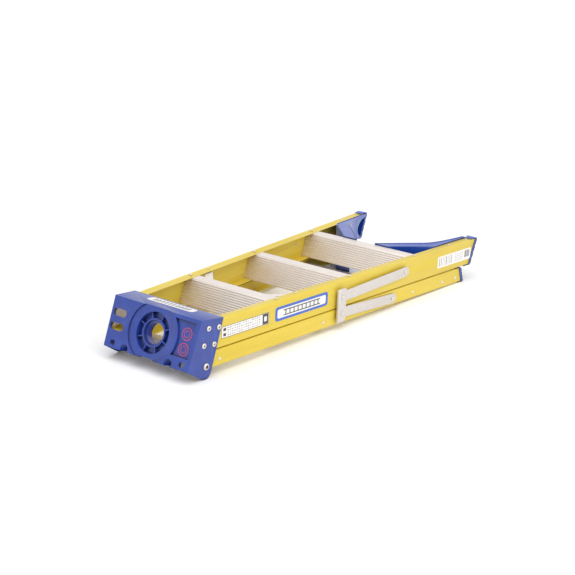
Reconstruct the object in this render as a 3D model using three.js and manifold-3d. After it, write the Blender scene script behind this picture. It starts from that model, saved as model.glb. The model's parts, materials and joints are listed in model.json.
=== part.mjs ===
// A folding fibreglass stepladder with 4 ft (1.2 m) rails, lying folded on the floor.
//
// It is drawn in the ladder's own axes and then laid on the floor by the group at the end of the file:
//   X runs down the front rails, from the cap to the feet, with X = 0 where the cap meets the rails,
//   Y runs across the ladder, and the right-hand side of someone climbing is +Y,
//   Z points away from the rear section, with Z = 0 on the front face of the front rails.
// All sizes are in millimetres.
import * as THREE from "three";
import { mergeVertices } from "three/addons/utils/BufferGeometryUtils.js";
import Module from "manifold-3d";

const wasm = await Module();
wasm.setup();

// ---------------------------------------------------------------- driving dimensions
const GAP = 0.3; // clearance between pieces that are riveted face to face
const LEAN = THREE.MathUtils.degToRad(20.5); // front rails from upright when the ladder stands open
const FLARE = 0.0655; // how far each rail moves outwards per millimetre of length

// Front rails; halfWidth is from the middle of the ladder to a web's outer face at X = 0.
const rail = { length: 1203, depth: 79, flange: 29, wall: 3.2, radius: 4, halfWidth: 146.5 };
// Rear rails; inset is from the front rail's outer face, gap is between the two rails.
const rear = { depth: 45.5, flange: 25, wall: 3, radius: 3.5, inset: 0.5, gap: 2.6 };

// The top cap: face is its top from front to rear edge; ear sizes are past the rear rail's rear face.
const cap = { face: 136, edge: -3, proud: 12, backProud: 4.5, skirt: 75, wall: 4.5, facePlate: 10, lip: 14 };
const capEar = { back: 34, backPast: 4.9, corner: 22, cornerPast: 33.9, under: 0.36 };
const capDisc = { centre: 66, radius: 80, recess: 5, ringInner: 38, ringOuter: 55, ringDepth: 20 };
const capHub = { bore: 28, sink: 34, sinkDepth: 7, rimDepth: 9, depth: 36, boss: 59.5, spoke: 3, spokes: 8 };
const capSlot = { fromSide: 30.3, length: 48, width: 20, rows: [41.5, 79], depth: 20 };
const capHole = { fromSide: 30.3, fromRear: 14, radius: 8.5 };
const capNotch = { across: 77, fromRear: 6, radius: 13, wall: 4, depth: 26 };
const capPanel = { fromSide: 13.3, inner: 30, top: 10, bottom: 105, recess: 7.5, rim: 7 };
const capRelief = { halfWidth: 22, depth: 3 }; // shallow notch in the middle of the rear edge
// Two rows of rivets through each side; front and back are from the rail's two faces.
const capRivet = {
  first: 28.2, pitch: 37.8, drop: 3.75, front: 14.4, back: 21.7,
  radius: 3.2, head: 7.5, headHeight: 2, dimple: 2.4, dimpleDepth: 3.2, tail: 2,
};
const backing = { end: 76, front: 7, back: 10, thickness: 2 };

// Treads: fromEnd is from the lowest one to the rails' ends.
const step = {
  count: 3, fromEnd: 309.5, pitch: 305, sheet: 2.2, apron: 32,
  ribs: 11, ribHeight: 1.6, ribWidth: 2.6, ribFoot: 0.6,
};
const stepRivet = { along: 12, inset: 13, radius: 2.4, head: 5, headHeight: 1.8, length: 9 };
// Braces under the upper tread; from and to are past the tread's front edge.
const knee = { from: 16.5, to: 90.5, fromRail: 78.1, inset: 15.5, width: 22, thickness: 2.5, drop: 6.3 };

// Rear rails turn on the pivot; above and up are from the rear rail's rear face.
const pivot = { x: 15, up: 12.1, radius: 5, head: 9.5, headHeight: 4.5, dimple: 5, dimpleDepth: 2, tail: 3 };
// Spreaders: the places of their four pins, before the lowest tread and from each rail's faces.
const armFront = { before: 55.5, down: 32 };
const armRear = { before: 105.5, up: 23.1 };
const lock = { before: 347.5, down: 45, pins: 48 };
const bar = { width: 30, thickness: 2.5, fromRail: 3, clear: 0.7, slip: 0.5 };
const plate = { back: 20, front: 14, end: 25, thickness: 2.5, flange: 5.5, corner: 4 };
const pin = {
  radius: 4, head: 7, headHeight: 2.2, rim: 1, shoulder: 8, tail: 6.3, tailHeight: 1, button: 1.5, inside: 3,
};

// Arch braces from the lowest tread to the feet.
const arch = {
  start: 11, depth: 70, skin: 4.5, wall: 3.5, stepInner: 12, stepOuter: 62, rib: 3, ribHeight: 1.2,
  slope: 0.93, bend: 36, round: 26, toe: 11, endGap: 12, rivetFromEnd: 122,
};
const archTab = { thickness: 3.2, drop: 6.3, reach: 60, under: 6 };
const archNotch = { back: -8, length: 52, height: 32 }; // the arch under the skin, at the foot
// Feet: plateLength is how far a boot's plate reaches up inside the web.
const boots = { plate: 3.5, sole: 8, wrap: 2, tread: 5, ridges: 4, inside: 3 };
const frontBoot = { plateLength: 85, wrapLength: 20 };
const rearBoot = { plateLength: 96.7, wrapLength: 16 };
// Crossbars of the rear section: the upper one is past the pivot, the lower one before the rear rails' ends.
const crossbar = { width: 24, height: 20, wall: 2, past: 55, before: 233.7 };
// Braces from the lower crossbar to the rear rails; from and to are before the rails' ends.
const rearKnee = {
  barInner: 40, barOuter: 92, from: 118.7, to: 30.7, reach: 110.7, belly: 30.5, depth: 36, skin: 4, wall: 3.2,
};
// A brace's tab under a rail's flange, for its rivet.
const lug = { halfLength: 22, taper: 4, thickness: 4, into: 14, short: 6 };

// ---------------------------------------------------------------- what follows from them
const railY = (x) => rail.halfWidth + FLARE * x; // outer face of a front rail's web
const rearY = (x) => railY(x) - rear.inset; // outer face of a rear rail's web
const capY = (x) => railY(x) + GAP + cap.wall; // outer face of the cap's side
const beyond = 2 * railY(rail.length); // well past every piece, for cutters
const rearTop = -rail.depth - rear.gap;
const rearBottom = rearTop - rear.depth;
const flareAngle = Math.atan(FLARE);
const treadX = (i) => rail.length - step.fromEnd - (step.count - 1 - i) * step.pitch;
const lowestTread = treadX(step.count - 1);
const treadNames = ["upper", "middle", "lower"];

const hinge = { x: pivot.x, z: rearBottom + pivot.up };
const frontPin = { x: lowestTread - armFront.before, z: -armFront.down };
const rearPin = { x: lowestTread - armRear.before, z: rearBottom + armRear.up };
const frontLink = { x: lowestTread - lock.before, z: -lock.down };
const rearLink = { x: frontLink.x, z: frontLink.z - lock.pins };

// The ladder is open when the arms and the lock plate of a spreader lie in one line.
const apart = (a, b) => Math.hypot(a.x - b.x, a.z - b.z);
const bearing = (point) => Math.atan2(hinge.z - point.z, point.x - hinge.x);
const straight = apart(frontPin, frontLink) + lock.pins + apart(rearLink, rearPin);
const [toFront, toRear] = [apart(frontPin, hinge), apart(rearPin, hinge)];
const openAngle = Math.acos((toFront ** 2 + toRear ** 2 - straight ** 2) / (2 * toFront * toRear));
const spread = openAngle - (bearing(rearPin) - bearing(frontPin));
const rearLean = spread - LEAN;

// The rear rails are cut so that their soles stand on the same floor as the front ones when the ladder is open.
const plumb = rail.length * Math.cos(LEAN) - (hinge.x * Math.cos(LEAN) - hinge.z * Math.sin(LEAN));
const rearEndAt = (z) => hinge.x + (plumb - (z - hinge.z) * Math.sin(rearLean)) / Math.cos(rearLean);
const rearLength = rearEndAt(rearTop);
const crossbarX = {
  upper: hinge.x + crossbar.past,
  middle: (hinge.x + crossbar.past + rearLength - crossbar.before) / 2,
  lower: rearLength - crossbar.before,
};

// Sheets of a spreader lie outside the rails, one over the other.
const layer = { rear: bar.fromRail };
layer.front = layer.rear + bar.thickness + bar.clear + pin.tailHeight + GAP;
layer.plate = layer.front + bar.thickness + bar.slip;

// Where along a rail a point lies that is at x in the ladder and inset from the web's outer face.
const station = (x, inset) => (x - inset * Math.sin(flareAngle)) / Math.cos(flareAngle);
// x of a plane under the cap's top face, at the height z.
const underFace = (z, inset) => cap.edge + (z - cap.proud) * Math.tan(LEAN) + inset / Math.cos(LEAN);

const rivetRow = (z) => [0, 1].map((i) => ({
  x: capRivet.first + i * capRivet.pitch + (z - i * capRivet.drop) * Math.tan(LEAN),
  z: z - i * capRivet.drop,
}));
const capRivets = [...rivetRow(-capRivet.front), ...rivetRow(capRivet.back - rail.depth)];

// ---------------------------------------------------------------- small tools
const V2 = (x, y) => new THREE.Vector2(x, y);
const axes = (x, y, z) => new THREE.Matrix4().makeBasis(...[x, y, z].map((a) => new THREE.Vector3(...a)));
// An outline's own x and y, and the way it is extruded, as directions of the ladder.
const AXES = {
  Z: new THREE.Matrix4(),
  Y: axes([1, 0, 0], [0, 0, 1], [0, -1, 0]),
  X: axes([0, 1, 0], [0, 0, 1], [1, 0, 0]),
};
// The cap's top face: x is Y, y runs up the face from its front edge, and z goes into the cap.
AXES.face = new THREE.Matrix4().makeRotationY(LEAN).multiply(AXES.X).setPosition(cap.edge, 0, cap.proud);

function toSolid(geometry) {
  const bare = geometry.clone();
  bare.deleteAttribute("normal");
  bare.deleteAttribute("uv");
  const merged = mergeVertices(bare, 1e-4);
  const vertProperties = new Float32Array(merged.attributes.position.array);
  const triVerts = new Uint32Array(merged.index.array);
  return new wasm.Manifold(new wasm.Mesh({ numProp: 3, vertProperties, triVerts }));
}

function toGeometry(solid) {
  const mesh = solid.getMesh();
  const geometry = new THREE.BufferGeometry();
  geometry.setAttribute("position", new THREE.BufferAttribute(new Float32Array(mesh.vertProperties), 3));
  geometry.setIndex(new THREE.BufferAttribute(new Uint32Array(mesh.triVerts), 1));
  geometry.computeVertexNormals();
  return geometry;
}

const moved = (solid, matrix) => toSolid(toGeometry(solid).applyMatrix4(matrix));

// The solid between two levels of an outline, which lies across the named axis.
function prism(outline, from, to, axis = "Z", curveSegments = 12) {
  const shape = outline instanceof THREE.Shape ? outline : new THREE.Shape(outline);
  const geometry = new THREE.ExtrudeGeometry(shape, { depth: to - from, bevelEnabled: false, curveSegments });
  geometry.translate(0, 0, axis === "Y" ? -to : from);
  return toSolid(geometry.applyMatrix4(AXES[axis]));
}

function rectangle(x0, y0, x1, y1) {
  return [V2(x0, y0), V2(x1, y0), V2(x1, y1), V2(x0, y1)];
}

function slot(x, y, length, width) {
  const half = (length - width) / 2;
  const shape = new THREE.Shape();
  shape.absarc(x + half, y, width / 2, -Math.PI / 2, Math.PI / 2);
  shape.absarc(x - half, y, width / 2, Math.PI / 2, Math.PI * 1.5);
  return shape;
}

// A round bar along an axis, from one level to another.
function rod(x, y, radius, from, to, axis = "Z", segments = 12) {
  const shape = new THREE.Shape();
  shape.absarc(x, y, radius, 0, 2 * Math.PI);
  return prism(shape, from, to, axis, segments);
}

// A hole right through sheets that lie across Y.
const drilled = (body, point, radius) => body.subtract(rod(point.x, point.z, radius + GAP, -20, 20, "Y", 6));

// What lies between the two sides of the ladder, which are half(x) from its middle.
function between(low, high, half) {
  const plan = [V2(low, -half(low)), V2(high, -half(high)), V2(high, half(high)), V2(low, half(low))];
  return prism(plan, -beyond, beyond);
}

// A closed outline moved inwards by a distance, corner by corner; the outline runs anticlockwise.
function shrink(points, distance) {
  const n = points.length;
  return points.map((p, i) => {
    const before = p.clone().sub(points[(i + n - 1) % n]).normalize();
    const after = points[(i + 1) % n].clone().sub(p).normalize();
    const a = V2(-before.y, before.x);
    const b = V2(-after.y, after.x);
    const middle = a.clone().add(b).normalize();
    return p.clone().addScaledVector(middle, distance / Math.max(0.5, middle.dot(a)));
  });
}

// A C-shaped rail with rounded outer corners: its web at y = 0, its flanges pointing to -y.
function channel({ depth, flange, wall, radius }, from, to, top) {
  const bottom = top - depth;
  const shape = new THREE.Shape();
  shape.moveTo(-flange, top);
  shape.absarc(-radius, top - radius, radius, Math.PI / 2, 0, true);
  shape.absarc(-radius, bottom + radius, radius, 0, -Math.PI / 2, true);
  shape.lineTo(-flange, bottom);
  shape.lineTo(-flange, bottom + wall);
  shape.lineTo(-wall, bottom + wall);
  shape.lineTo(-wall, top - wall);
  shape.lineTo(-flange, top - wall);
  return prism(shape, from, to, "X", 4);
}

// A turned rivet or bolt along +Y from its outer face at y = 0: a head outside, then a shank.
function rivetGeometry({ head, headHeight, radius, dimple = 0, dimpleDepth = 0 }, length) {
  const floor = headHeight - dimpleDepth;
  const profile = [V2(0, -length), V2(radius, -length), V2(radius, 0), V2(head, 0), V2(head, headHeight * 0.4)];
  profile.push(V2(head * 0.72, headHeight));
  if (dimple) profile.push(V2(dimple, headHeight), V2(dimple, floor));
  profile.push(V2(0, floor));
  return new THREE.LatheGeometry(profile, 12);
}

// ---------------------------------------------------------------- materials
const paint = (color, roughness, metalness) => new THREE.MeshStandardMaterial({ color, roughness, metalness });
const FIBREGLASS = paint(0xdcc84e, 0.45, 0);
const BLUE = paint(0x33469c, 0.45, 0);
const ALUMINIUM = paint(0xe6dfda, 0.45, 1);
const ZINC = paint(0xdbd6d3, 0.45, 1);
const RUBBER = paint(0x1d2338, 0.8, 0);

// ---------------------------------------------------------------- top cap
// The cap's side, from its front edge round the back to the pivot ear and the rear edge of its top face.
function capSide() {
  const rearEdge = V2(cap.edge - cap.face * Math.sin(LEAN), cap.proud - cap.face * Math.cos(LEAN));
  const corner = V2(capEar.corner, rearBottom - capEar.cornerPast);
  const under = corner.clone().lerp(rearEdge, capEar.under);
  const shape = new THREE.Shape();
  shape.moveTo(cap.edge, cap.proud);
  shape.lineTo(rearEdge.x, rearEdge.y);
  shape.lineTo(under.x, under.y);
  shape.quadraticCurveTo(corner.x, corner.y, capEar.back, rearBottom - capEar.backPast);
  shape.lineTo(cap.skirt, cap.backProud);
  return shape;
}

// The cap between its sides; margin moves the sides inwards.
function capWidth(margin) {
  return between(-cap.face, cap.skirt * 2, (x) => capY(x) - margin);
}

function capHollow() {
  const top = cap.proud - cap.wall;
  const inner = cap.backProud - cap.wall;
  const outline = [
    V2(underFace(top, cap.facePlate), top),
    V2(underFace(-beyond, cap.facePlate), -beyond),
    V2(beyond, -beyond),
    V2(beyond, inner - cap.wall),
    V2(cap.skirt, inner),
  ];
  const hollow = prism(outline, -beyond, beyond, "Y").intersect(capWidth(cap.wall));
  // between the ears the rear edge keeps a short lip
  const lip = prism(rectangle(-beyond, -cap.face, beyond, -cap.face + cap.wall), 0, cap.lip, "face");
  return hollow.subtract(lip.intersect(capWidth(cap.wall + rear.flange)));
}

// What is cut away round the hub: a ring-shaped well with spokes across it.
function ringWell() {
  const down = -capDisc.centre;
  const { ringOuter, ringInner, ringDepth } = capDisc;
  let well = rod(0, down, ringOuter, -1, ringDepth, "face", 20);
  well = well.subtract(rod(0, down, ringInner, capHub.rimDepth, ringDepth + 1, "face", 20));
  const spoke = prism(
    rectangle(ringInner - 2, -capHub.spoke / 2, ringOuter + 2, capHub.spoke / 2),
    capHub.rimDepth,
    ringDepth + 1,
  );
  for (let i = 0; i < capHub.spokes; i++) {
    const turn = new THREE.Matrix4().makeRotationZ(((i + 0.5) * 2 * Math.PI) / capHub.spokes);
    const placed = new THREE.Matrix4().makeTranslation(0, down, 0).multiply(turn);
    well = well.subtract(moved(spoke, placed.premultiply(AXES.face)));
  }
  return well;
}

// What stands under the top face: the hub with its ring, and the walls of the two rear notches.
function capBosses() {
  const down = -capDisc.centre;
  const notchY = capNotch.fromRear - cap.face;
  const notchWall = capNotch.radius + capNotch.wall;
  const boss = rod(0, down, capHub.boss, capDisc.recess + 1, capDisc.ringDepth + 4, "face", 20);
  let bosses = boss.add(rod(0, down, capDisc.ringInner, capDisc.ringDepth, capHub.depth, "face", 20));
  for (const side of [-1, 1]) {
    const cup = rod(side * capNotch.across, notchY, notchWall, 1, capNotch.depth + capNotch.wall, "face", 8);
    bosses = bosses.add(cup);
  }
  return bosses.intersect(prism(rectangle(-beyond, -cap.face, beyond, 0), 0, beyond, "face"));
}

// The tray beside the hub, the shallow disc round it, and the relief in the rear edge.
function capRecesses() {
  const down = -capDisc.centre;
  const face = prism(rectangle(-beyond, -cap.face, beyond, cap.proud), -1, capDisc.recess, "face");
  const disc = rod(0, down, capDisc.radius, -beyond, capDisc.recess, "face", 28).intersect(face);
  const outer = capY(0) - capPanel.fromSide;
  const tray = rectangle(-outer, -capPanel.bottom, -capPanel.inner, -capPanel.top);
  const panel = prism(tray, -1, capPanel.recess, "face");
  const rim = rod(0, down, capDisc.radius + capPanel.rim, -2, beyond, "face", 28);
  const { halfWidth, depth } = capRelief;
  const relief = rectangle(-halfWidth, -cap.face - 1, halfWidth, depth - cap.face);
  return disc.add(panel.subtract(rim)).add(prism(relief, -1, cap.lip + 1, "face"));
}

function topCap() {
  const down = -capDisc.centre;
  let body = prism(capSide(), -beyond, beyond, "Y", 6).intersect(capWidth(0));
  // between the ears the top face ends at its rear edge
  const below = prism(rectangle(-beyond, -beyond, beyond, -cap.face), -beyond, beyond, "face");
  body = body.subtract(below.intersect(capWidth(cap.wall)));
  body = body.subtract(capHollow()).add(capBosses()).subtract(capRecesses()).subtract(ringWell());
  body = body.subtract(rod(0, down, capHub.bore, -5, capHub.depth + 5, "face", 18));
  body = body.subtract(rod(0, down, capHub.sink, -5, capHub.rimDepth + capHub.sinkDepth, "face", 20));
  const slotX = capY(0) - capSlot.fromSide;
  for (const row of capSlot.rows) {
    body = body.subtract(prism(slot(slotX, -row, capSlot.length, capSlot.width), -5, capSlot.depth, "face", 6));
  }
  const holeX = capY(0) - capHole.fromSide;
  const holeY = capHole.fromRear - cap.face;
  const notchY = capNotch.fromRear - cap.face;
  for (const side of [-1, 1]) {
    body = body.subtract(rod(side * holeX, holeY, capHole.radius, -5, capSlot.depth, "face", 6));
    body = body.subtract(rod(side * capNotch.across, notchY, capNotch.radius, -5, capNotch.depth, "face", 8));
    for (const at of capRivets) body = body.subtract(sideHole(at, capRivet.radius, side));
    body = body.subtract(sideHole(hinge, pivot.radius, side));
  }
  return body;
}

// A hole through one side of the cap, square to the rail behind it.
function sideHole(at, radius, side) {
  const turned = new THREE.Matrix4().makeRotationZ(side * flareAngle).setPosition(0, side * rail.halfWidth, 0);
  return moved(rod(at.x, at.z, radius + GAP, -30, 30, "Y", 6), turned);
}

// ---------------------------------------------------------------- front section
// Rails are drawn in a frame of their own: x along the rail, y = 0 on the web's outer face.
function frontRail() {
  const slant = (x, z) => V2(x + z * Math.tan(LEAN), z);
  const start = underFace(0, cap.facePlate) + GAP * 2;
  const [over, under] = [10, -rail.depth - 10];
  const end = rail.length;
  const outline = [slant(start, over), slant(end, over), slant(end, under), slant(start, under)];
  const blank = channel(rail, -rail.depth, rail.length + rail.depth, 0);
  let body = blank.intersect(prism(outline, -beyond, beyond, "Y"));
  for (const at of capRivets) body = drilled(body, at, capRivet.radius);
  body = drilled(body, frontPin, pin.radius);
  for (let i = 0; i < step.count; i++) {
    const at = station(treadX(i) + stepRivet.along, stepRivet.inset);
    body = body.subtract(rod(at, -stepRivet.inset, stepRivet.radius + GAP, -20, 20, "Z", 6));
  }
  return body;
}

// The aluminium plate inside the web, under the cap's rivets.
function railBacking() {
  const y = -rail.wall - GAP;
  const front = -backing.front;
  const back = backing.back - rail.depth;
  const start = (z) => V2(underFace(z, cap.facePlate) + GAP * 3, z);
  const end = (z) => V2(backing.end + z * Math.tan(LEAN), z);
  let body = prism([start(back), end(back), end(front), start(front)], y - backing.thickness, y, "Y");
  for (const at of capRivets) body = drilled(body, at, capRivet.radius);
  return body;
}

// A tread with ribs across it and an apron folded down at its front and at its rear.
function stepSection(x) {
  const front = -rail.wall - GAP;
  const back = -rail.depth + rail.wall + GAP;
  const face = (z, height) => V2(x + (z - front) * Math.tan(LEAN) - height, z);
  const points = [V2(x + step.apron, front), face(front, 0)];
  const pitch = (front - back) / (step.ribs + 0.5);
  const half = step.ribWidth / 2;
  for (let i = 0; i < step.ribs; i++) {
    const z = front - pitch * (i + 0.75);
    points.push(face(z + half + step.ribFoot, 0), face(z + half, step.ribHeight));
    points.push(face(z - half, step.ribHeight), face(z - half - step.ribFoot, 0));
  }
  const rearX = face(back, 0).x;
  points.push(V2(rearX, back), V2(rearX + step.apron, back), V2(rearX + step.apron, back + step.sheet));
  points.push(V2(rearX + step.sheet * 1.4, back + step.sheet), V2(x + step.sheet, front - step.sheet));
  points.push(V2(x + step.apron, front - step.sheet));
  return points;
}

function tread(i) {
  const x = treadX(i);
  const width = between(x - rail.depth, x + step.apron * 2, (at) => railY(at) - rail.wall - GAP);
  let body = prism(stepSection(x), -beyond, beyond, "Y").intersect(width);
  const at = x + stepRivet.along;
  for (const side of [-1, 1]) {
    const y = side * (railY(at) - stepRivet.inset / Math.cos(flareAngle));
    body = body.subtract(rod(at, y, stepRivet.radius + GAP, -20, 20, "Z", 6));
  }
  return body;
}

// The ends of a knee brace: on the upper tread, and on the rail.
const kneeStart = V2(treadX(0) + knee.from, railY(treadX(0) + knee.from) - knee.fromRail);
const kneeEnd = V2(treadX(0) + knee.to, railY(treadX(0) + knee.to) - knee.inset);

function kneeBrace() {
  const length = kneeStart.distanceTo(kneeEnd) + knee.width;
  return prism(slot(0, 0, length, knee.width), -knee.thickness, 0, "Z", 5);
}

// The arch brace in plan: a straight leg from under the lowest tread, which bends along the rail to its foot.
function archOutline(start, end) {
  const inner = (x) => railY(x) - rail.flange - GAP;
  const bendY = inner(start) - arch.bend;
  const bendX = start + (bendY - arch.stepInner) / arch.slope;
  const meetX = start + (inner(start) - arch.stepOuter) / arch.slope;
  const path = new THREE.Path();
  path.moveTo(start, arch.stepInner);
  path.lineTo(bendX, bendY);
  path.quadraticCurveTo(bendX + arch.round, bendY + arch.round * arch.slope, end, inner(end) - arch.toe);
  path.lineTo(end, inner(end));
  path.lineTo(meetX, inner(meetX));
  path.lineTo(start, arch.stepOuter);
  return path.getPoints(7);
}

// A brace's tab under a rail's flange, where a rivet holds it.
function railLug(x, inner, web, top) {
  const [start, end] = [x - lug.halfLength, x + lug.halfLength];
  const outline = [
    V2(start, inner(start) - lug.into),
    V2(end, inner(end) - lug.into),
    V2(end - lug.taper, web(end) - lug.short),
    V2(start + lug.taper, web(start) - lug.short),
  ];
  return prism(outline, top - lug.thickness, top);
}

function archBrace() {
  const start = lowestTread + arch.start;
  const end = rail.length - arch.endGap;
  const outline = archOutline(start, end);
  const clear = lowestTread + step.apron + 2;
  const pastTread = prism(rectangle(clear, -beyond, rail.length * 2, beyond), -beyond, beyond);
  const fall = beyond * Math.tan(LEAN);
  const plumbEnd = [V2(0, beyond), V2(0, -beyond), V2(end - fall, -beyond), V2(end + fall, beyond)];
  const room = pastTread.intersect(prism(plumbEnd, -beyond, beyond, "Y"));
  const hollow = prism(shrink(outline, arch.wall), -arch.depth - 1, -arch.skin);
  const withinRim = prism(shrink(outline, arch.rib), -2, arch.ribHeight + 1);
  const rim = prism(outline, -1, arch.ribHeight).subtract(withinRim);
  let body = prism(outline, -arch.depth, 0).subtract(hollow).add(rim).intersect(room);
  const notch = new THREE.Shape();
  notch.absellipse(end + archNotch.back, -rail.depth / 2, archNotch.length, archNotch.height, 0, 2 * Math.PI);
  body = body.subtract(prism(notch, -beyond, beyond, "Y", 8));
  const rise = archTab.reach * arch.slope;
  const tab = [
    V2(start - archTab.under, arch.stepInner + 4),
    V2(start + archTab.reach, arch.stepInner + rise - 2),
    V2(start + archTab.reach, arch.stepOuter + rise - 2),
    V2(start - archTab.under, arch.stepOuter - 6),
  ];
  body = body.add(prism(tab, -archTab.drop - archTab.thickness, -archTab.drop));
  const inner = (x) => railY(x) - rail.flange - GAP;
  const web = (x) => railY(x) - rail.wall;
  return body.add(railLug(rail.length - arch.rivetFromEnd, inner, web, -rail.wall - GAP));
}

// ---------------------------------------------------------------- feet
// An outline from one station to another that follows a rail's slanting cut.
function slanted(top, lean) {
  return (x, z) => V2(x + (z - top) * Math.tan(lean), z);
}

// A boot over the end of a rail, with a plate inside the web and thin wraps over the two flanges.
function boot(section, top, end, lean, { plateLength, wrapLength }) {
  const { depth, flange, wall } = section;
  const { sole, wrap, plate: thickness, inside } = boots;
  const bottom = top - depth;
  const at = slanted(top, lean);
  const strip = (from, to, high, low) => [at(from, high), at(from, low), at(to, low), at(to, high)];
  const plateTop = top - wall - GAP;
  const plateBottom = bottom + wall + GAP;
  const start = end - plateLength;
  const web = [V2(start, plateTop), V2(start, plateBottom), at(end + 1, plateBottom), at(end + 1, plateTop)];
  const wraps = [
    strip(end - wrapLength, end + 1, top + wrap, top + GAP),
    strip(end - wrapLength, end + 1, bottom - GAP, bottom - wrap),
  ];
  let body = prism(strip(end + GAP, end + sole, top + wrap, bottom - wrap), -flange - inside, wrap, "Y");
  body = body.add(prism(web, -wall - GAP - thickness, -wall - GAP, "Y"));
  for (const outline of wraps) body = body.add(prism(outline, 1 - flange, 0, "Y"));
  return body;
}

// A ribbed rubber pad under a boot.
function treadPad(section, top, end, lean) {
  const bottom = top - section.depth;
  const at = slanted(top, lean);
  const face = end + boots.sole + GAP;
  const floor = face + boots.tread;
  const points = [at(face, top), at(face, bottom)];
  const pitch = section.depth / boots.ridges;
  for (let i = 0; i < boots.ridges; i++) {
    const z = bottom + pitch * i;
    points.push(at(floor, z + 0.5), at(floor, z + pitch * 0.7));
    points.push(at(floor - 2, z + pitch * 0.78), at(floor - 2, z + pitch - 0.5));
  }
  return prism(points, -section.flange - 2, 1, "Y");
}

// ---------------------------------------------------------------- rear section
function rearRail() {
  const past = 1;
  const top = rearTop + past;
  const bottom = rearBottom - past;
  const outline = new THREE.Shape();
  outline.moveTo(rearEndAt(top), top);
  outline.lineTo(hinge.x, top);
  outline.absarc(hinge.x, (top + bottom) / 2, (top - bottom) / 2, Math.PI / 2, 1.5 * Math.PI);
  outline.lineTo(rearEndAt(bottom), bottom);
  const whole = channel(rear, -rail.depth, rearLength + rail.depth, rearTop);
  let body = whole.intersect(prism(outline, -beyond, beyond, "Y", 8));
  body = drilled(body, hinge, pivot.radius);
  return drilled(body, rearPin, pin.radius);
}

// A bar with a channel section across the rear rails.
function crossBar(x) {
  const { width, height, wall } = crossbar;
  const bottom = rearBottom + rear.wall + GAP;
  const outer = rectangle(x - width / 2, bottom, x + width / 2, bottom + height);
  const inner = rectangle(x - width / 2 + wall, bottom - height, x + width / 2 - wall, bottom + height - wall);
  const span = between(x - width, x + width, (at) => rearY(at) - rear.wall - GAP);
  return prism(outer, -beyond, beyond, "Y").subtract(prism(inner, -beyond, beyond, "Y")).intersect(span);
}

// A curved brace from the lower crossbar to a rear rail.
function rearBrace() {
  const inner = (x) => rearY(x) - rear.flange - GAP;
  const barX = crossbarX.lower + crossbar.width / 2 + GAP;
  const [from, to] = [rearLength - rearKnee.from, rearLength - rearKnee.to];
  const control = V2(barX + rearKnee.reach, inner(barX) - rearKnee.belly);
  const curve = new THREE.QuadraticBezierCurve(V2(barX, rearKnee.barInner), control, V2(to, inner(to) - 1));
  const outline = [...curve.getPoints(8), V2(from, inner(from)), V2(barX, rearKnee.barOuter)];
  const low = rearBottom + rearKnee.skin;
  const hollow = prism(shrink(outline, rearKnee.wall), low + rearKnee.skin, low + rearKnee.depth + 1);
  const body = prism(outline, low, low + rearKnee.depth).subtract(hollow);
  const lugTop = rearBottom + rear.wall + GAP * 2 + lug.thickness;
  return body.add(railLug((from + to) / 2, inner, (x) => rearY(x) - rear.wall, lugTop));
}

// ---------------------------------------------------------------- spreaders
// Sheets of a spreader lie across Y in the rail's frame; each is drawn round its own first pin.
function spreaderBar(length, from, holes) {
  const outline = slot(length / 2, 0, length + bar.width, bar.width);
  const body = prism(outline, from, from + bar.thickness, "Y", 6);
  return holes.reduce((sheet, x) => drilled(sheet, { x, z: 0 }, pin.radius), body);
}

// The rear arm ends in a rivet button instead of a hole: its pin stays with the lock plate, clear of the arm.
function rearArm() {
  const length = apart(rearPin, rearLink);
  const button = rod(length, 0, pin.radius, layer.rear - pin.button, layer.rear + bar.thickness / 2, "Y", 6);
  return spreaderBar(length, layer.rear, [0]).add(button);
}

// The plate that joins the two arms, with a flange folded inwards along its edge.
function lockPlate() {
  const { back, front, end, thickness, flange, corner } = plate;
  const low = -lock.pins - end;
  const outer = layer.plate + thickness;
  const shape = new THREE.Shape();
  shape.moveTo(-back, end);
  shape.lineTo(-back, low);
  shape.lineTo(front - corner * 2, low);
  shape.lineTo(front, low + corner * 2);
  shape.lineTo(front, end - corner);
  shape.quadraticCurveTo(front, end, front - corner, end);
  const fold = prism(rectangle(-back, low, -back + thickness, end), outer - flange, layer.plate + 1, "Y");
  const body = prism(shape, layer.plate, outer, "Y", 4).add(fold);
  return drilled(drilled(body, { x: 0, z: 0 }, pin.radius), { x: 0, z: -lock.pins }, pin.radius);
}

// A pin along Y with a head outside and a shoulder that holds the sheet off the rail.
function shoulderPin(base, inner, from) {
  const shoulderTo = from - GAP;
  const head = from + bar.thickness + GAP;
  const crown = head + pin.headHeight;
  const profile = [V2(0, inner), V2(pin.radius, inner), V2(pin.radius, base), V2(pin.shoulder, base)];
  profile.push(V2(pin.shoulder, shoulderTo), V2(pin.radius, shoulderTo), V2(pin.radius, head));
  profile.push(V2(pin.head, head), V2(pin.head, head + pin.rim), V2(pin.head * 0.7, crown), V2(0, crown));
  return new THREE.LatheGeometry(profile, 12);
}

// The pin that joins an arm to the lock plate: a head outside and a flat tail under the arm.
function linkPin(tail, top) {
  const neck = tail + pin.tailHeight;
  const crown = top + pin.headHeight * 0.8;
  const profile = [V2(0, tail), V2(pin.tail, tail), V2(pin.tail, neck), V2(pin.radius, neck)];
  profile.push(V2(pin.radius, top), V2(pin.head, top), V2(pin.head, top + pin.rim));
  profile.push(V2(pin.head * 0.7, crown), V2(0, crown));
  return new THREE.LatheGeometry(profile, 12);
}

// ---------------------------------------------------------------- assembly
function mesh(parent, name, shape, material, at = {}) {
  const geometry = shape instanceof THREE.BufferGeometry ? shape : toGeometry(shape);
  const made = new THREE.Mesh(geometry, material);
  made.name = name;
  made.position.set(at.x ?? 0, at.y ?? 0, at.z ?? 0);
  parent.add(made);
  return made;
}

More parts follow.
